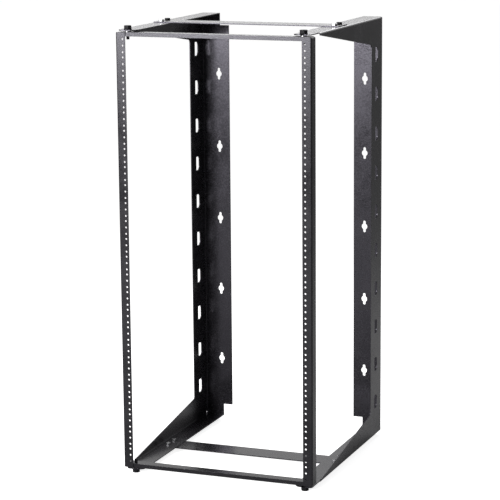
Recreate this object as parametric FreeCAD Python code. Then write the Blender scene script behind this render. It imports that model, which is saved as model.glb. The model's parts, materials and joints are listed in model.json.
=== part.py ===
import FreeCAD, Part
import os

# Wall-mounted swing-gate open frame rack, 24 rack units, in millimetres.
# X runs across the rack, Y = 0 is the wall plane with the front at -Y, Z = 0 is
# half way up.  Two mirrored bent-sheet side frames are tied by two flat cross bars
# and carry a front gate that turns on two vertical bolts at its left-hand corners.
# Pieces are drawn about the rack's middle plane.  They are saved measured from the
# point of the left wall flange that lies straight behind those two hinge bolts.

V = FreeCAD.Vector

# ---- rack standard: what the gate holds -------------------------------------
rack_units = 24
rack_unit_height = 44.45
panel_opening_width = 450.85
hole_to_opening_width = 7.135
holes_in_unit = 3
first_hole_height = 6.35
hole_step_height = 15.875
rail_hole_diameter = 4.8

# ---- gate -------------------------------------------------------------------
rail_face_width = 24.575
gate_bar_height = 10.0
gate_sheet = 2.0
gate_bend_radius = 1.5
gate_flange_depth = 27.0
gate_corner_radius = 4.0

# ---- side frames ------------------------------------------------------------
overall_depth = 546.0
frame_sheet = 2.5
frame_bend_radius = 1.5
web_depth = 90.0
arm_root_height = 65.0
arm_tip_height = 6.5
arm_tip_setback = 62.0
arm_corner_radius = 8.0
arm_flange_width = 50.8
flange_setback = 5.0
flange_outer_corner_radius = 8.0
flange_inner_corner_radius = 18.0
wall_flange_notch = 32.0
corner_relief_diameter = 7.0

# ---- cable slots and wall keyholes --------------------------------------------
cable_slot_count = 10
cable_slot_pitch = 101.6
cable_slot_width = 21.0
cable_slot_height = 36.5
cable_slot_from_wall = 48.0
cable_slot_front_radius = 2.0
cable_slot_rear_radius = 9.5
keyhole_rows = 5
keyhole_pitch = 194.0
keyhole_spacing = 406.4
keyhole_to_flange_edge_width = 29.4
keyhole_diameter = 16.0
keyhole_neck_width = 7.5
keyhole_height = 31.0

# ---- cross bars ---------------------------------------------------------------
cross_bar_width = 63.5
cross_bar_thickness = 2.5
cross_bar_end_inset = 6.0
cross_bar_from_wall = 300.0
cross_bolt_spacing_depth = 38.1
cross_bolt_from_side = 22.0

# ---- fasteners ----------------------------------------------------------------
corner_bolt_diameter = 8.0
corner_bolt_setback = 16.0
corner_head_across_flats = 17.0
corner_head_height = 8.0
corner_washer_diameter = 20.0
corner_washer_thickness = 1.6
spacer_washer_diameter = 16.0
spacer_washer_thickness = 2.7
corner_nut_across_flats = 13.0
corner_bolt_end = 8.5
clearance_hole_gap = 0.5
hinge_hole_gap = 0.1
turning_gap = 0.3
latch_notch_gap = 0.5
cross_bolt_diameter = 6.0
cross_head_across_flats = 10.0
cross_head_height = 4.0
cross_nut_height = 5.0
cross_bolt_end = 1.5

# ---- sizes that follow --------------------------------------------------------
opening_height = rack_units * rack_unit_height
hole_column_spacing = panel_opening_width + 2 * hole_to_opening_width
gate_width = panel_opening_width + 2 * rail_face_width
frame_width = gate_width
cross_bar_length = frame_width - 2 * cross_bar_end_inset
gate_height = opening_height + 2 * gate_bar_height
swing_gap = spacer_washer_thickness + turning_gap
frame_height = gate_height + 2 * (swing_gap + frame_sheet)
half_width = frame_width / 2
half_height = frame_height / 2
flange_inner_face = half_height - frame_sheet
gate_face_y = -overall_depth
flange_front_y = gate_face_y + flange_setback
arm_tip_y = gate_face_y + arm_tip_setback
web_front_y = -web_depth
frame_bend_outside = frame_bend_radius + frame_sheet
flange_inner_x = half_width - arm_flange_width
wall_flange_inner_x = keyhole_spacing / 2 - keyhole_to_flange_edge_width
corner_bolt_x = half_width - arm_flange_width / 2
corner_bolt_y = gate_face_y + corner_bolt_setback
cross_bolt_x = half_width - cross_bolt_from_side
cross_bar_y = -cross_bar_from_wall
bar_outer_z = gate_height / 2
bar_inner_z = opening_height / 2
origin_shift = V(corner_bolt_x, 0, 0)
overcut = 5.0
closeness = 0.001


def save(shape, name):
    """Write one finished piece as its own STEP file, measured from the origin."""
    shape.translated(origin_shift).exportStep("parts/" + name + ".step")


def block(x0, x1, y0, y1, z0, z1):
    """An upright box between two corners given in any order."""
    low = V(min(x0, x1), min(y0, y1), min(z0, z1))
    return Part.makeBox(abs(x1 - x0), abs(y1 - y0), abs(z1 - z0), low)


def edges_along(shape, direction, test):
    """The straight edges of a shape that run along a direction and pass a test."""
    found = []
    for edge in shape.Edges:
        if not isinstance(edge.Curve, Part.Line):
            continue
        run = edge.Vertexes[-1].Point.sub(edge.Vertexes[0].Point)
        if run.cross(direction).Length < closeness and test(edge.CenterOfMass):
            found.append(edge)
    return found


def edges_at_depth(shape, y):
    """The edges of a shape that run across the rack at one depth."""
    return edges_along(shape, V(1, 0, 0), lambda p: abs(p.y - y) < closeness)


def mirrored(shape):
    """The same piece on the other side of the rack."""
    return shape.mirror(V(0, 0, 0), V(1, 0, 0))


def upside_down(shape):
    """The same piece at the other end of the rack's height."""
    return shape.mirror(V(0, 0, 0), V(0, 0, 1))


def prism(points, direction):
    """A solid swept from a closed outline of points."""
    return Part.Face(Part.makePolygon(points + [points[0]])).extrude(direction)


def upright_slot(width, height, depth_axis, centre, depth):
    """A round-ended upright slot, cut along an axis through a plate."""
    radius = width / 2
    reach = height / 2 - radius
    across = depth_axis.cross(V(0, 0, 1))
    start = centre.sub(depth_axis * (depth / 2))
    right = across * radius
    up = V(0, 0, reach)
    bow = V(0, 0, radius)
    top = Part.Arc(start + up + right, start + up + bow, start + up - right).toShape()
    bottom = Part.Arc(start - up - right, start - up - bow, start - up + right).toShape()
    left_side = Part.makeLine(start + up - right, start - up - right)
    right_side = Part.makeLine(start - up + right, start + up + right)
    outline = Part.Wire([top, left_side, bottom, right_side])
    return Part.Face(outline).extrude(depth_axis * depth)


def hole_row(count, pitch):
    """Heights of a row of holes centred on the rack's middle."""
    return [(index - (count - 1) / 2) * pitch for index in range(count)]


# ---- side frame ---------------------------------------------------------------
def frame_shell():
    """Left web with its top, bottom and wall flanges, bends rounded."""
    outer = block(-half_width, -wall_flange_inner_x, flange_front_y, 0, -half_height, half_height)
    at_web = lambda p: abs(p.x + half_width) < closeness
    at_wall = lambda p: abs(p.y) < closeness
    bends = edges_along(outer, V(0, 1, 0), at_web)
    bends += edges_along(outer, V(0, 0, 1), lambda p: at_web(p) and at_wall(p))
    outer = outer.makeFillet(frame_bend_outside, bends)
    inside_x = -half_width + frame_sheet
    cavity = block(
        inside_x,
        -wall_flange_inner_x + overcut,
        flange_front_y - overcut,
        -frame_sheet,
        -flange_inner_face,
        flange_inner_face,
    )
    at_web_inside = lambda p: abs(p.x - inside_x) < closeness
    at_wall_inside = lambda p: abs(p.y + frame_sheet) < closeness
    creases = edges_along(cavity, V(0, 1, 0), at_web_inside)
    creases += edges_along(cavity, V(0, 0, 1), lambda p: at_web_inside(p) and at_wall_inside(p))
    return outer.cut(cavity.makeFillet(frame_bend_radius, creases))


def arm_window():
    """The open C of the side: everything between the two tapered arms."""
    root = half_height - arm_root_height
    tip = half_height - arm_tip_height
    outside = -half_width - overcut
    points = [
        V(outside, web_front_y, -root),
        V(outside, web_front_y, root),
        V(outside, arm_tip_y, tip),
        V(outside, arm_tip_y, -tip),
    ]
    window = prism(points, V(overcut + frame_bend_outside, 0, 0))
    return window.makeFillet(arm_corner_radius, edges_at_depth(window, web_front_y))


def tip_trim():
    """Material left out beside each flange in front of the arm's tip."""
    outside = -half_width - overcut
    bend_line = -half_width + frame_bend_outside
    front = flange_front_y - overcut
    return block(outside, bend_line, front, arm_tip_y, -half_height - overcut, half_height + overcut)


def round_tips(frame):
    """Rounds the front corners of the two arm flanges."""
    at_front = lambda p: abs(p.y - flange_front_y) < closeness
    inner = edges_along(frame, V(0, 0, 1), lambda p: at_front(p) and p.x > -corner_bolt_x)
    frame = frame.makeFillet(flange_inner_corner_radius, inner)
    outer = edges_along(frame, V(0, 0, 1), lambda p: at_front(p) and p.x < -corner_bolt_x)
    return frame.makeFillet(flange_outer_corner_radius, outer)


def flange_trim():
    """Narrows the arm flanges and both ends of the wall flange."""
    z0 = half_height - wall_flange_notch
    z1 = half_height + overcut
    x0 = -flange_inner_x
    x1 = -wall_flange_inner_x + overcut
    upper = block(x0, x1, flange_front_y - overcut, overcut, z0, z1)
    return upper.fuse(upside_down(upper))


def cable_slots():
    """The column of cable slots in the web, flat to the front and rounded to the rear."""
    front = -cable_slot_from_wall - cable_slot_width / 2
    rear = front + cable_slot_width
    top = cable_slot_height / 2
    outside = -half_width - overcut
    inside = -half_width + frame_sheet + overcut
    slot = block(outside, inside, front, rear, -top, top)
    slot = slot.makeFillet(cable_slot_front_radius, edges_at_depth(slot, front))
    slot = slot.makeFillet(cable_slot_rear_radius, edges_at_depth(slot, rear))
    return [slot.translated(V(0, 0, z)) for z in hole_row(cable_slot_count, cable_slot_pitch)]


def keyholes():
    """Double-ended keyholes in the wall flange."""
    cuts = []
    for z in hole_row(keyhole_rows, keyhole_pitch):
        centre = V(-keyhole_spacing / 2, -frame_sheet / 2, z)
        neck = upright_slot(keyhole_neck_width, keyhole_height, V(0, 1, 0), centre, 2 * overcut)
        start = V(centre.x, centre.y - overcut, z)
        cuts.append(neck.fuse(Part.makeCylinder(keyhole_diameter / 2, 2 * overcut, start, V(0, 1, 0))))
    return cuts


def corner_reliefs():
    """Small round reliefs where the web meets two bends at the rear corners."""
    radius = corner_relief_diameter / 2
    inset = frame_bend_outside + radius / 2
    start = V(-half_width - overcut, -inset, half_height - inset)
    relief = Part.makeCylinder(radius, 2 * overcut, start, V(1, 0, 0))
    return [relief, upside_down(relief)]


def cross_bolt_holes():
    """Holes through both arm flanges for the cross bar bolts."""
    cuts = []
    radius = cross_bolt_diameter / 2 + clearance_hole_gap
    for y in cross_bolt_depths():
        start = V(-cross_bolt_x, y, -half_height - overcut)
        cuts.append(Part.makeCylinder(radius, frame_height + 2 * overcut, start))
    return cuts


def cross_bolt_depths():
    """Where along the depth the two bolts of a cross bar's end sit."""
    return [cross_bar_y - cross_bolt_spacing_depth / 2, cross_bar_y + cross_bolt_spacing_depth / 2]


def hinge_holes():
    """Round holes that the gate's hinge bolts turn in."""
    radius = corner_bolt_diameter / 2 + hinge_hole_gap
    start = V(-corner_bolt_x, corner_bolt_y, -half_height - overcut)
    return [Part.makeCylinder(radius, frame_height + 2 * overcut, start)]


def latch_notches():
    """Open-ended notches that the gate's latch bolts swing out of."""
    radius = corner_bolt_diameter / 2 + latch_notch_gap
    bottom = -half_height - overcut
    height = frame_height + 2 * overcut
    seat = Part.makeCylinder(radius, height, V(-corner_bolt_x, corner_bolt_y, bottom))
    mouth = block(
        -corner_bolt_x - radius,
        -corner_bolt_x + radius,
        flange_front_y - overcut,
        corner_bolt_y,
        bottom,
        bottom + height,
    )
    return [seat.fuse(mouth)]


def side_frame(bolt_cuts):
    """One bent-sheet side frame, drawn on the left."""
    shell = frame_shell().cut(arm_window()).cut(tip_trim()).cut(flange_trim())
    shell = round_tips(shell.removeSplitter())
    cuts = cable_slots() + keyholes() + corner_reliefs() + cross_bolt_holes() + bolt_cuts
    return shell.cut(Part.makeCompound(cuts)).removeSplitter()


# ---- cross bars ---------------------------------------------------------------
def upper_cross_bar():
    """Flat bar that lies on the top flanges and ties the two side frames."""
    half_length = cross_bar_length / 2
    y0 = cross_bar_y - cross_bar_width / 2
    y1 = cross_bar_y + cross_bar_width / 2
    bar = block(-half_length, half_length, y0, y1, half_height, half_height + cross_bar_thickness)
    radius = cross_bolt_diameter / 2 + clearance_hole_gap
    cuts = []
    for side in (-1, 1):
        for y in cross_bolt_depths():
            start = V(side * cross_bolt_x, y, half_height - overcut)
            cuts.append(Part.makeCylinder(radius, cross_bar_thickness + 2 * overcut, start))
    return bar.cut(Part.makeCompound(cuts))


# ---- gate -----------------------------------------------------------------------
def left_rail():
    """Bent angle with the rack holes in its face, drawn on the left."""
    outer_x = -gate_width / 2
    half = gate_height / 2
    rear_y = gate_face_y + gate_flange_depth
    outer = block(outer_x, outer_x + rail_face_width, gate_face_y, rear_y, -half, half)
    at_corner = lambda p: abs(p.x - outer_x) < closeness and abs(p.y - gate_face_y) < closeness
    outer = outer.makeFillet(gate_bend_radius + gate_sheet, edges_along(outer, V(0, 0, 1), at_corner))
    inside_x = outer_x + gate_sheet
    inside_y = gate_face_y + gate_sheet
    hollow = block(
        inside_x,
        outer_x + rail_face_width + overcut,
        inside_y,
        inside_y + gate_flange_depth,
        -half - overcut,
        half + overcut,
    )
    at_crease = lambda p: abs(p.x - inside_x) < closeness and abs(p.y - inside_y) < closeness
    hollow = hollow.makeFillet(gate_bend_radius, edges_along(hollow, V(0, 0, 1), at_crease))
    angle = outer.cut(hollow).common(gate_outline())
    return angle.cut(Part.makeCompound(rack_holes()))


def gate_outline():
    """The gate's box with the corners rounded that show from the front and the side."""
    front = gate_face_y - overcut
    rear = gate_face_y + gate_flange_depth
    half = gate_height / 2
    face = block(-gate_width / 2, gate_width / 2, front, rear, -half, half)
    face = face.makeFillet(gate_corner_radius, edges_along(face, V(0, 1, 0), lambda p: True))
    side = block(-gate_width, gate_width, front, rear, -half, half)
    return face.common(side.makeFillet(gate_corner_radius, edges_at_depth(side, rear)))


def rack_holes():
    """Three holes in every rack unit, at the standard uneven pitch."""
    cuts = []
    for unit in range(rack_units):
        for step in range(holes_in_unit):
            height = first_hole_height + step * hole_step_height
            z = -opening_height / 2 + unit * rack_unit_height + height
            start = V(-hole_column_spacing / 2, gate_face_y - overcut, z)
            cuts.append(Part.makeCylinder(rail_hole_diameter / 2, 2 * overcut, start, V(0, 1, 0)))
    return cuts


def gate_top_bar():
    """Shallow channel, open to the rear, set inside the two rails."""
    half_length = gate_width / 2 - gate_sheet - gate_bend_radius
    front = gate_face_y + gate_sheet
    rear = gate_face_y + gate_flange_depth
    bar = block(-half_length, half_length, front, rear, bar_inner_z, bar_outer_z)
    hollow = block(
        -half_length - overcut,
        half_length + overcut,
        front + gate_sheet,
        rear + overcut,
        bar_inner_z + gate_sheet,
        bar_outer_z - gate_sheet,
    )
    cuts = []
    radius = corner_bolt_diameter / 2 + clearance_hole_gap
    for side in (-1, 1):
        start = V(side * corner_bolt_x, corner_bolt_y, bar_inner_z - overcut)
        cuts.append(Part.makeCylinder(radius, gate_bar_height + 2 * overcut, start))
    return bar.cut(hollow).cut(Part.makeCompound(cuts))


# ---- fasteners --------------------------------------------------------------------
def hexagon(across_flats, height, start):
    """A hexagonal prism standing on a point."""
    corner = across_flats / 3 ** 0.5
    points = []
    for step in range(6):
        turn = FreeCAD.Rotation(V(0, 0, 1), 360 / 6 * step)
        points.append(start + turn.multVec(V(corner, 0, 0)))
    return prism(points, V(0, 0, height))


def ring(outer_diameter, inner_diameter, thickness, start):
    """A flat washer lying on a point."""
    disc = Part.makeCylinder(outer_diameter / 2, thickness, start)
    return disc.cut(Part.makeCylinder(inner_diameter / 2, thickness, start))


def hex_nut(across_flats, bore, height, start):
    """A nut with its bore the size of the bolt's shank."""
    return hexagon(across_flats, height, start).cut(Part.makeCylinder(bore / 2, height, start))


def corner_bolt(side):
    """Bolt from above through the arm flange and the gate's top bar."""
    under_head = half_height + turning_gap + corner_washer_thickness
    end = bar_inner_z - corner_bolt_end
    shank = Part.makeCylinder(
        corner_bolt_diameter / 2, under_head - end, V(side * corner_bolt_x, corner_bolt_y, end)
    )
    start = V(side * corner_bolt_x, corner_bolt_y, under_head)
    return shank.fuse(hexagon(corner_head_across_flats, corner_head_height, start))


def corner_washer(side):
    """Washer under the corner bolt's head."""
    start = V(side * corner_bolt_x, corner_bolt_y, half_height + turning_gap)
    return ring(corner_washer_diameter, corner_bolt_diameter, corner_washer_thickness, start)


def spacer_washer(side):
    """Washer between the gate's bar and the arm flange."""
    start = V(side * corner_bolt_x, corner_bolt_y, bar_outer_z)
    return ring(spacer_washer_diameter, corner_bolt_diameter, spacer_washer_thickness, start)


def corner_nut(side):
    """Weld nut that fills the height of the gate bar's channel."""
    start = V(side * corner_bolt_x, corner_bolt_y, bar_inner_z + gate_sheet)
    height = gate_bar_height - 2 * gate_sheet
    return hex_nut(corner_nut_across_flats, corner_bolt_diameter, height, start)


def cross_bolt(side, y):
    """Bolt from above through the upper cross bar and the top flange."""
    under_head = half_height + cross_bar_thickness
    end = flange_inner_face - cross_nut_height - cross_bolt_end
    shank = Part.makeCylinder(cross_bolt_diameter / 2, under_head - end, V(side * cross_bolt_x, y, end))
    head = hexagon(cross_head_across_flats, cross_head_height, V(side * cross_bolt_x, y, under_head))
    return shank.fuse(head)


def cross_nut(side, y):
    """Nut under the top flange."""
    start = V(side * cross_bolt_x, y, flange_inner_face - cross_nut_height)
    return hex_nut(cross_head_across_flats, cross_bolt_diameter, cross_nut_height, start)


# ---- the assembly -------------------------------------------------------------------
def save_frames():
    save(side_frame(hinge_holes()), "left_side_frame")
    save(mirrored(side_frame(latch_notches())), "right_side_frame")
    bar = upper_cross_bar()
    save(bar, "upper_cross_bar")
    save(upside_down(bar), "lower_cross_bar")


def save_gate():
    rail = left_rail()
    save(rail, "left_rail")
    save(mirrored(rail), "right_rail")
    bar = gate_top_bar()
    save(bar, "gate_top_bar")
    save(upside_down(bar), "gate_bottom_bar")


def save_corner_fasteners():
    makers = {
        "bolt": corner_bolt,
        "washer": corner_washer,
        "spacer": spacer_washer,
        "nut": corner_nut,
    }
    for corner, side in (("hinge", -1), ("latch", 1)):
        for piece, make in makers.items():
            save(make(side), "upper_" + corner + "_" + piece)
            save(upside_down(make(side)), "lower_" + corner + "_" + piece)


def save_cross_fasteners():
    for hand, side in (("left", -1), ("right", 1)):
        for place, y in zip(("front", "rear"), cross_bolt_depths()):
            for piece, make in (("bolt", cross_bolt), ("nut", cross_nut)):
                save(make(side, y), "upper_bar_" + piece + "_" + hand + "_" + place)
                save(upside_down(make(side, y)), "lower_bar_" + piece + "_" + hand + "_" + place)


os.makedirs("parts", exist_ok=True)
save_frames()
save_gate()
save_corner_fasteners()
save_cross_fasteners()
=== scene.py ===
import json
import math

import bmesh
import bpy
from mathutils import Matrix, Vector

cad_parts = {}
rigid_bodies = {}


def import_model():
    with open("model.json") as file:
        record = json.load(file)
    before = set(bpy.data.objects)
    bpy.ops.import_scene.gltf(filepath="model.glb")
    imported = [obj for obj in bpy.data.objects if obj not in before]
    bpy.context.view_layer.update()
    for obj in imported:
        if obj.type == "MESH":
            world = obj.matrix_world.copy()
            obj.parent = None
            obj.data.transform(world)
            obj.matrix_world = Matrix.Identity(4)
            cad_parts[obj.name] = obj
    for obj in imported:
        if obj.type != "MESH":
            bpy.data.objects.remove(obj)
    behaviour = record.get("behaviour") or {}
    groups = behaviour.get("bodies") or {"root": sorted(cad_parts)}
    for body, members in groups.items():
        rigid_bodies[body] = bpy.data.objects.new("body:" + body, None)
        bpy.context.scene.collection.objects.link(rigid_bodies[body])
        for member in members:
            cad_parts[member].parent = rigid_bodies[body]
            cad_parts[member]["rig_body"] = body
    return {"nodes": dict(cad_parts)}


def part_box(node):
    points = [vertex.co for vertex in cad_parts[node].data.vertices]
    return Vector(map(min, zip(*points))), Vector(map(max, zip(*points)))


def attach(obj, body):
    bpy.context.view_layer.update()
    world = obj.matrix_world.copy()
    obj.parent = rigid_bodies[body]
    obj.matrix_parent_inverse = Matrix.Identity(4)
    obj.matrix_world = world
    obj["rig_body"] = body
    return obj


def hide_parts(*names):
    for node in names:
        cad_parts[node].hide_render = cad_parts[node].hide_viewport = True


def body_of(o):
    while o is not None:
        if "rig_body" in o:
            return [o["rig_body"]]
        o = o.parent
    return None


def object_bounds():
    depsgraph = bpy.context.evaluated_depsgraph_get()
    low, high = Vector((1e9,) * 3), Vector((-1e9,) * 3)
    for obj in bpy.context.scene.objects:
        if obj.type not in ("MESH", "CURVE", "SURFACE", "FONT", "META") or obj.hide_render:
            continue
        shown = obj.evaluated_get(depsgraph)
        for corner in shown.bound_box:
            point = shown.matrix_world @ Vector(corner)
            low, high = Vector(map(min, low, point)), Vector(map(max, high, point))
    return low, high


# Looks for a black swing-gate wall rack.  Metres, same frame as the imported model:
# X across the rack, -Y towards the viewer, Z up, with the rack's middle at X = MIDDLE_X.

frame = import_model()
cad_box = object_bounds()
nodes = frame["nodes"]

MIDDLE_X = 0.2246
MM = 0.001

PICTURE_PIXELS = 500.0      # the picture width that the focal length in pixels goes with
SENSOR_MM = 36.0

EDGE_TURN = (0.995, 0.86)   # cosine of a softened edge's turn, from no wear to full wear
BEVEL_SAMPLES = 6           # rays that find where to soften
SEGMENTS = 60               # round a bolt, nut or washer
SHARP_DEGREES = 24.0        # edges at least this sharp stay sharp under smooth shading
AXIS_RADIUS = 0.0002        # the tiny disc that closes each end of a bolt
WELD_DISTANCE = 0.000001    # joins a ring of points to its own copy
CORNER_TRIM = 0.485         # a hexagon's trimming cone starts here, in widths across flats
CORNER_SLOPE = 0.55         # and drops this much for each unit outwards
HEX_FLAT_TOP = 0.470        # radius of the level top inside the cone, in the same widths
HEAD_CHAMFER = 0.5 * MM     # under a bolt's head
THREAD_DEPTH = 0.3          # a ridge's height, as a share of the pitch
THREAD_STEPS = 5.0          # rings a pitch
END_HEIGHT = 0.6 * MM       # of the chamfer at a shank's end
END_WIDTH = 0.9 * MM
SINK_DEPTH = 0.7 * MM       # of the countersinks in a nut's bore
SINK_WIDTH = 0.6 * MM
BORE_GAP = 0.02 * MM        # a nut's or washer's bore stands this far off the bolt

FLOOR_REACH = 60.0
FLOOR_GAP = 0.0005          # the floor lies this far under the rack


# ---- camera --------------------------------------------------------------------
def make_camera(place, azimuth, elevation, roll, focal_pixels):
    """A camera at a place, aimed by three angles in degrees."""
    a, e, r = (math.radians(v) for v in (azimuth, elevation, roll))
    forward = Vector((-math.sin(a) * math.cos(e), math.cos(a) * math.cos(e), -math.sin(e)))
    level = Vector((math.cos(a), math.sin(a), 0.0))
    above = level.cross(forward)
    right = math.cos(r) * level + math.sin(r) * above
    up = math.cos(r) * above - math.sin(r) * level
    data = bpy.data.cameras.new("camera")
    data.sensor_width = SENSOR_MM
    data.lens = SENSOR_MM * focal_pixels / PICTURE_PIXELS
    data.clip_start = 0.01
    data.clip_end = 200.0
    camera = bpy.data.objects.new("camera", data)
    camera.matrix_world = Matrix((
        (right.x, up.x, -forward.x, place[0]),
        (right.y, up.y, -forward.y, place[1]),
        (right.z, up.z, -forward.z, place[2]),
        (0.0, 0.0, 0.0, 1.0),
    ))
    bpy.context.scene.collection.objects.link(camera)
    bpy.context.scene.camera = camera


make_camera((2.0633, -5.0428, 0.9766), azimuth=21.222, elevation=11.089, roll=-0.465,
            focal_pixels=2054.8)
bpy.context.scene.view_settings.view_transform = "Standard"


# ---- material building blocks ----------------------------------------------------
def new_material(name):
    """An empty node material with its output and a principled shader."""
    material = bpy.data.materials.new(name)
    material.use_nodes = True
    tree = material.node_tree
    tree.nodes.clear()
    output = tree.nodes.new("ShaderNodeOutputMaterial")
    shader = tree.nodes.new("ShaderNodeBsdfPrincipled")
    tree.links.new(shader.outputs["BSDF"], output.inputs["Surface"])
    return material, tree, shader


def noise(tree, scale, detail, rough, stretch=(1.0, 1.0, 1.0)):
    """A noise pattern fixed to the object, its scale in cycles per metre."""
    place = tree.nodes.new("ShaderNodeTexCoord")
    mapping = tree.nodes.new("ShaderNodeMapping")
    mapping.inputs["Scale"].default_value = stretch
    tree.links.new(place.outputs["Object"], mapping.inputs["Vector"])
    texture = tree.nodes.new("ShaderNodeTexNoise")
    texture.inputs["Scale"].default_value = scale
    texture.inputs["Detail"].default_value = detail
    texture.inputs["Roughness"].default_value = rough
    tree.links.new(mapping.outputs["Vector"], texture.inputs["Vector"])
    return texture.outputs["Fac"]


def spread(tree, value, found, wanted):
    """A pattern's values turned from the range they are found in into the one wanted."""
    node = tree.nodes.new("ShaderNodeMapRange")
    node.inputs["From Min"].default_value = found[0]
    node.inputs["From Max"].default_value = found[1]
    node.inputs["To Min"].default_value = wanted[0]
    node.inputs["To Max"].default_value = wanted[1]
    tree.links.new(value, node.inputs["Value"])
    return node.outputs["Result"]


def calculate(tree, operation, first, second):
    """One arithmetic step on two values, each a number or another node's output."""
    node = tree.nodes.new("ShaderNodeMath")
    node.operation = operation
    for socket, value in zip(node.inputs, (first, second)):
        if isinstance(value, float):
            socket.default_value = value
        else:
            tree.links.new(value, socket)
    return node.outputs["Value"]


def blend_colours(tree, factor, first, second):
    """A mix of two colours, each a plain colour or another node's output."""
    node = tree.nodes.new("ShaderNodeMix")
    node.data_type = "RGBA"
    sockets = [s for s in node.inputs if s.type == "RGBA"]
    for socket, colour in zip(sockets, (first, second)):
        if isinstance(colour, tuple):
            socket.default_value = (*colour, 1.0)
        else:
            tree.links.new(colour, socket)
    tree.links.new(factor, node.inputs[0])
    return [s for s in node.outputs if s.type == "RGBA"][0]


def bump(tree, height, distance, strength, below):
    """A bump from a height pattern, on top of another normal."""
    node = tree.nodes.new("ShaderNodeBump")
    node.inputs["Strength"].default_value = strength
    node.inputs["Distance"].default_value = distance
    tree.links.new(height, node.inputs["Height"])
    tree.links.new(below, node.inputs["Normal"])
    return node.outputs["Normal"]


def rounded_edges(tree, radius):
    """Edges softened by a small radius, and a mask that is 1 along them."""
    soft = tree.nodes.new("ShaderNodeBevel")
    soft.samples = BEVEL_SAMPLES
    soft.inputs["Radius"].default_value = radius
    flat = tree.nodes.new("ShaderNodeNewGeometry")
    turn = tree.nodes.new("ShaderNodeVectorMath")
    turn.operation = "DOT_PRODUCT"
    tree.links.new(soft.outputs["Normal"], turn.inputs[0])
    tree.links.new(flat.outputs["Normal"], turn.inputs[1])
    return soft.outputs["Normal"], spread(tree, turn.outputs["Value"], EDGE_TURN, (0.0, 1.0))


# ---- materials -------------------------------------------------------------------
DUST = (0.027, 0.026, 0.029)
RUBBED = (0.060, 0.058, 0.062)


def powder_coat(name, dark, light, roughness, gloss, tint):
    """Black powder coat: orange peel, mottled gloss, dust, and edges rubbed paler."""
    material, tree, shader = new_material(name)
    mottle = noise(tree, scale=9.0, detail=6.0, rough=0.62)
    speck = noise(tree, scale=260.0, detail=3.0, rough=0.6)
    peel = noise(tree, scale=520.0, detail=3.0, rough=0.5)
    grain = noise(tree, scale=1500.0, detail=2.0, rough=0.5)
    chips = noise(tree, scale=120.0, detail=5.0, rough=0.7)
    soft, edge = rounded_edges(tree, radius=0.0006)
    colour = blend_colours(tree, spread(tree, mottle, (0.32, 0.68), (0.0, 1.0)), dark, light)
    dust = spread(tree, speck, (0.58, 0.80), (0.0, 0.5))
    colour = blend_colours(tree, dust, colour, DUST)
    rubbed = calculate(tree, "MULTIPLY", edge, spread(tree, chips, (0.46, 0.66), (0.0, 0.7)))
    colour = blend_colours(tree, rubbed, colour, RUBBED)
    tree.links.new(colour, shader.inputs["Base Color"])
    even = spread(tree, mottle, (0.3, 0.7), (roughness - 0.06, roughness + 0.07))
    even = calculate(tree, "ADD", even, spread(tree, speck, (0.3, 0.7), (-0.05, 0.05)))
    smoother = calculate(tree, "MULTIPLY", rubbed, 0.10)
    tree.links.new(calculate(tree, "SUBTRACT", even, smoother), shader.inputs["Roughness"])
    shader.inputs["Specular IOR Level"].default_value = gloss
    shader.inputs["Specular Tint"].default_value = (*tint, 1.0)
    skin = bump(tree, speck, distance=0.00024, strength=0.18, below=soft)
    skin = bump(tree, peel, distance=0.00014, strength=0.38, below=skin)
    skin = bump(tree, grain, distance=0.00006, strength=0.30, below=skin)
    tree.links.new(skin, shader.inputs["Normal"])
    return material


def bare_metal(name, dull, bright, roughness, scratch_depth, metallic, gloss):
    """Plated or oxidised steel: cloudy tone and gloss, fine scratches, paler edges."""
    material, tree, shader = new_material(name)
    cloud = noise(tree, scale=180.0, detail=5.0, rough=0.65)
    scratch = noise(tree, scale=1800.0, detail=3.0, rough=0.6, stretch=(1.0, 1.0, 0.10))
    soft, edge = rounded_edges(tree, radius=0.0004)
    colour = blend_colours(tree, spread(tree, cloud, (0.32, 0.68), (0.0, 1.0)), dull, bright)
    worn = calculate(tree, "MULTIPLY", edge, spread(tree, cloud, (0.35, 0.65), (0.15, 0.8)))
    pale = tuple(min(1.0, 1.5 * part + 0.03) for part in bright)
    tree.links.new(blend_colours(tree, worn, colour, pale), shader.inputs["Base Color"])
    gloss_clouds = spread(tree, cloud, (0.3, 0.7), (roughness - 0.07, roughness + 0.09))
    tree.links.new(gloss_clouds, shader.inputs["Roughness"])
    shader.inputs["Metallic"].default_value = metallic
    shader.inputs["Specular IOR Level"].default_value = gloss
    skin = bump(tree, scratch, distance=scratch_depth, strength=0.35, below=soft)
    tree.links.new(skin, shader.inputs["Normal"])
    return material


frame_black = powder_coat(
    "frame_black", dark=(0.0048, 0.0045, 0.0053), light=(0.0100, 0.0095, 0.0110),
    roughness=0.25, gloss=0.29, tint=(0.90, 0.86, 1.0))
gate_black = powder_coat(
    "gate_black", dark=(0.0050, 0.0048, 0.0054), light=(0.0105, 0.0101, 0.0113),
    roughness=0.26, gloss=0.22, tint=(0.93, 0.91, 1.0))
black_oxide = bare_metal(
    "black_oxide", dull=(0.005, 0.005, 0.006), bright=(0.016, 0.0155, 0.017),
    roughness=0.46, scratch_depth=0.00003, metallic=0.0, gloss=0.05)
zinc = bare_metal(
    "zinc", dull=(0.15, 0.15, 0.155), bright=(0.27, 0.27, 0.27),
    roughness=0.34, scratch_depth=0.00005, metallic=1.0, gloss=0.5)
dull_zinc = bare_metal(
    "dull_zinc", dull=(0.13, 0.13, 0.135), bright=(0.24, 0.24, 0.245),
    roughness=0.36, scratch_depth=0.00005, metallic=1.0, gloss=0.5)


def coat(node, material):
    """Gives a CAD node one material all over."""
    mesh = nodes[node].data
    mesh.materials.clear()
    mesh.materials.append(material)


# The fasteners are coated too, but pieces made below stand in for them.
for name in nodes:
    coat(name, gate_black if "rail" in name or "gate" in name else frame_black)


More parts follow.
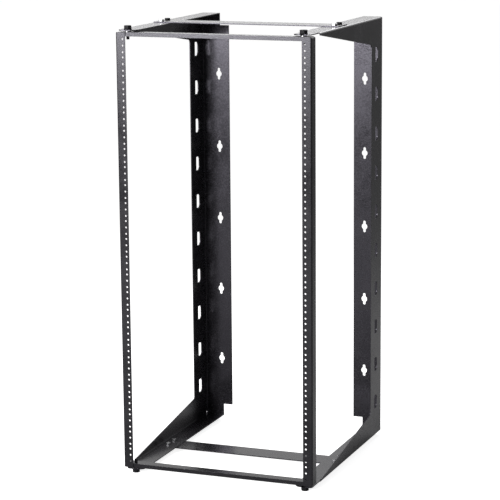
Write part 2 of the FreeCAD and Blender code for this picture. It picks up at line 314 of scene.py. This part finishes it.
# ---- fasteners in full detail ------------------------------------------------------
def spun(form, rings):
    """A skin over rings of points; each ring gives radius and height at every angle.

    Both ends stay open. Returns the points, a row for each ring.
    """
    rows = []
    for ring in rings:
        row = []
        for step in range(SEGMENTS):
            angle = 2.0 * math.pi * step / SEGMENTS
            radius, height = ring(angle)
            point = (radius * math.cos(angle), radius * math.sin(angle), height)
            row.append(form.verts.new(point))
        rows.append(row)
    for low, high in zip(rows, rows[1:]):
        for step in range(SEGMENTS):
            after = (step + 1) % SEGMENTS
            form.faces.new((low[step], low[after], high[after], high[step]))
    return rows


def level_ring(radius, height):
    """A round ring at one height."""
    return lambda angle: (radius, height)


def hex_radius(across_flats, angle):
    """Distance from a hexagon's middle to its edge, with a corner at angle 0."""
    from_flat = (angle % (math.pi / 3.0)) - math.pi / 6.0
    return across_flats / 2.0 / math.cos(from_flat)


def hex_ring(across_flats):
    """A hexagon at height 0 whose corners drop where a shallow cone trims them."""
    def ring(angle):
        radius = hex_radius(across_flats, angle)
        drop = (radius - CORNER_TRIM * across_flats) * CORNER_SLOPE
        return radius, -drop
    return ring


def thread_rings(radius, depth, pitch, low, high):
    """Rings that wind a ridge up a shank between two heights."""
    count = round((high - low) / pitch * THREAD_STEPS)
    def at(height):
        def ring(angle):
            phase = (height / pitch - angle / (2.0 * math.pi)) % 1.0
            return radius - depth * abs(2.0 * phase - 1.0), height
        return ring
    return [at(low + (high - low) * step / count) for step in range(count + 1)]


def finish_piece(form, name, node, material, upside_down, middle, zero):
    """Turns a finished form into a piece that stands for a CAD node and moves with it."""
    bmesh.ops.recalc_face_normals(form, faces=form.faces)
    mesh = bpy.data.meshes.new(name)
    form.to_mesh(mesh)
    form.free()
    mesh.polygons.foreach_set("use_smooth", [True] * len(mesh.polygons))
    mesh.set_sharp_from_angle(angle=math.radians(SHARP_DEGREES))
    mesh.materials.append(material)
    piece = bpy.data.objects.new(name, mesh)
    bpy.context.scene.collection.objects.link(piece)
    turn = Matrix.Rotation(math.pi, 4, "X") if upside_down else Matrix.Identity(4)
    piece.matrix_world = Matrix.Translation((middle.x, middle.y, zero)) @ turn
    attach(piece, body_of(nodes[node])[0])
    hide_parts(node)


def place_of(node, upside_down):
    """A fastener's axis, its outer end and its length, from its CAD box."""
    low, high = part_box(node)
    middle = (low + high) / 2.0
    return middle, (low.z if upside_down else high.z), high.z - low.z


def make_bolt(node, material, upside_down, across_flats, head, taller,
              diameter, pitch, threaded):
    """A hex bolt seen from its head end: chamfered head, plain shank, rolled thread.

    Its head stands that much taller than the CAD one, on the same seat.
    """
    middle, top, length = place_of(node, upside_down)
    top += -taller if upside_down else taller
    length += taller
    form = bmesh.new()
    radius = diameter / 2.0
    rings = [
        # the head's top, with a shallow round groove in it
        level_ring(AXIS_RADIUS, 0.0),
        level_ring(0.300 * across_flats, 0.0),
        level_ring(0.345 * across_flats, -0.35 * MM),
        level_ring(0.360 * across_flats, -0.05 * MM),
        level_ring(HEX_FLAT_TOP * across_flats, 0.0),
        # its trimmed corners, its flats and the chamfer under it
        hex_ring(across_flats),
        lambda angle: (hex_radius(across_flats, angle), -head + HEAD_CHAMFER),
        lambda angle: (hex_radius(across_flats, angle) - HEAD_CHAMFER, -head),
        # the plain shank
        level_ring(radius, -head),
        level_ring(radius, -length + threaded),
    ]
    rings += reversed(thread_rings(radius, THREAD_DEPTH * pitch, pitch,
                                   -length + END_HEIGHT, -length + threaded))
    # the shank's end, chamfered and closed flat
    rings += [level_ring(radius - END_WIDTH, -length), level_ring(AXIS_RADIUS, -length)]
    rows = spun(form, rings)
    for end in (rows[0], rows[-1]):
        form.faces.new(end)
    finish_piece(form, "detailed_" + node, node, material, upside_down, middle, top)


def make_nut(node, material, upside_down, across_flats, diameter):
    """A hex nut chamfered at both ends, with a countersunk bore."""
    middle, top, length = place_of(node, upside_down)
    form = bmesh.new()
    radius = diameter / 2.0
    corners = hex_ring(across_flats)
    rings = [
        level_ring(radius + BORE_GAP, -SINK_DEPTH),
        level_ring(radius + SINK_WIDTH, 0.0),
        level_ring(HEX_FLAT_TOP * across_flats, 0.0),
        corners,
        lambda angle: (corners(angle)[0], -length - corners(angle)[1]),
        level_ring(HEX_FLAT_TOP * across_flats, -length),
        level_ring(radius + SINK_WIDTH, -length),
        level_ring(radius + BORE_GAP, -length + SINK_DEPTH),
    ]
    rings.append(rings[0])
    spun(form, rings)
    bmesh.ops.remove_doubles(form, verts=form.verts, dist=WELD_DISTANCE)
    finish_piece(form, "detailed_" + node, node, material, upside_down, middle, top)


def make_washer(node, material, upside_down, diameter, bore):
    """A stamped washer: one outer edge rolled over, the other nearly sharp."""
    middle, top, length = place_of(node, upside_down)
    form = bmesh.new()
    outer = diameter / 2.0
    inner = bore / 2.0 + BORE_GAP
    rings = [
        # the bore's chamfered edge
        level_ring(inner, -0.25 * MM),
        level_ring(inner + 0.25 * MM, 0.0),
        # the rolled outer edge
        level_ring(outer - 0.45 * MM, 0.0),
        level_ring(outer - 0.13 * MM, -0.13 * MM),
        level_ring(outer, -0.45 * MM),
        # the nearly sharp one, and the face under it
        level_ring(outer, -length + 0.1 * MM),
        level_ring(outer - 0.1 * MM, -length),
        level_ring(inner, -length),
    ]
    rings.append(rings[0])
    spun(form, rings)
    bmesh.ops.remove_doubles(form, verts=form.verts, dist=WELD_DISTANCE)
    finish_piece(form, "detailed_" + node, node, material, upside_down, middle, top)


for level in ("upper", "lower"):
    flipped = level == "lower"
    for corner in ("hinge", "latch"):
        stem = level + "_" + corner
        make_bolt(stem + "_bolt", black_oxide, flipped,
                  across_flats=17.0 * MM, head=8.0 * MM, taller=0.0,
                  diameter=8.0 * MM, pitch=1.25 * MM, threaded=12.0 * MM)
        make_washer(stem + "_washer", black_oxide, flipped,
                    diameter=20.0 * MM, bore=8.0 * MM)
        make_washer(stem + "_spacer", zinc, flipped,
                    diameter=16.0 * MM, bore=8.0 * MM)
        make_nut(stem + "_nut", black_oxide, flipped,
                 across_flats=13.0 * MM, diameter=8.0 * MM)
    for hand in ("left", "right"):
        for depth in ("front", "rear"):
            bright = depth == "front"
            finish = zinc if bright else black_oxide
            make_bolt(f"{level}_bar_bolt_{hand}_{depth}", finish, flipped,
                      across_flats=13.0 * MM, head=5.3 * MM, taller=1.3 * MM,
                      diameter=6.0 * MM, pitch=1.0 * MM, threaded=8.0 * MM)
            make_nut(f"{level}_bar_nut_{hand}_{depth}", dull_zinc, flipped,
                     across_flats=10.0 * MM, diameter=6.0 * MM)


# ---- floor and light -------------------------------------------------------------
def seen_directly(tree, mirrored):
    """1 for camera rays and rays passed through, the given share for mirrored ones, else 0."""
    path = tree.nodes.new("ShaderNodeLightPath")
    direct = calculate(tree, "MAXIMUM", path.outputs["Is Camera Ray"],
                       path.outputs["Is Transmission Ray"])
    glossy = calculate(tree, "MULTIPLY", path.outputs["Is Glossy Ray"], mirrored)
    return calculate(tree, "MAXIMUM", direct, glossy)


def make_floor(height, lift):
    """A wide white floor at a height; what is seen of it is lifted to white."""
    mesh = bpy.data.meshes.new("floor")
    form = bmesh.new()
    corners = [form.verts.new((x * FLOOR_REACH, y * FLOOR_REACH, height)) for x, y in
               ((-1.0, -1.0), (1.0, -1.0), (1.0, 1.0), (-1.0, 1.0))]
    form.faces.new(corners)
    form.to_mesh(mesh)
    form.free()
    floor = bpy.data.objects.new("floor", mesh)
    bpy.context.scene.collection.objects.link(floor)
    material, tree, shader = new_material("floor")
    shader.inputs["Base Color"].default_value = (0.88, 0.88, 0.88, 1.0)
    shader.inputs["Roughness"].default_value = 1.0
    shader.inputs["Specular IOR Level"].default_value = 0.0
    shader.inputs["Emission Color"].default_value = (1.0, 1.0, 1.0, 1.0)
    glow = spread(tree, seen_directly(tree, mirrored=0.05), (0.0, 1.0), (0.0, lift))
    tree.links.new(glow, shader.inputs["Emission Strength"])
    mesh.materials.append(material)


def make_light(name, place, target, width, height, watts):
    """A soft rectangular lamp aimed at a point."""
    data = bpy.data.lights.new(name, "AREA")
    data.shape = "RECTANGLE"
    data.size = width
    data.size_y = height
    data.energy = watts
    lamp = bpy.data.objects.new(name, data)
    lamp.location = place
    aim = Vector(target) - Vector(place)
    lamp.rotation_euler = aim.to_track_quat("-Z", "Y").to_euler()
    bpy.context.scene.collection.objects.link(lamp)


def make_world(strength):
    """White where it is seen, a softer white for the light it gives."""
    world = bpy.data.worlds.new("studio")
    bpy.context.scene.world = world
    world.use_nodes = True
    tree = world.node_tree
    tree.nodes.clear()
    output = tree.nodes.new("ShaderNodeOutputWorld")
    sky = tree.nodes.new("ShaderNodeBackground")
    sky.inputs["Color"].default_value = (1.0, 1.0, 1.0, 1.0)
    glow = spread(tree, seen_directly(tree, mirrored=1.0), (0.0, 1.0), (strength, 1.0))
    tree.links.new(glow, sky.inputs["Strength"])
    tree.links.new(sky.outputs["Background"], output.inputs["Surface"])


make_floor(cad_box[0][2] - FLOOR_GAP, lift=0.86)
make_world(strength=0.17)
make_light("front_box", (MIDDLE_X - 1.10, -3.3, 0.66), (MIDDLE_X, -0.3, 0.4),
           width=1.2, height=0.5, watts=150.0)
make_light("rear_box", (MIDDLE_X - 0.5, 1.3, 1.5), (MIDDLE_X, -0.2, 0.1),
           width=2.0, height=1.0, watts=26.0)
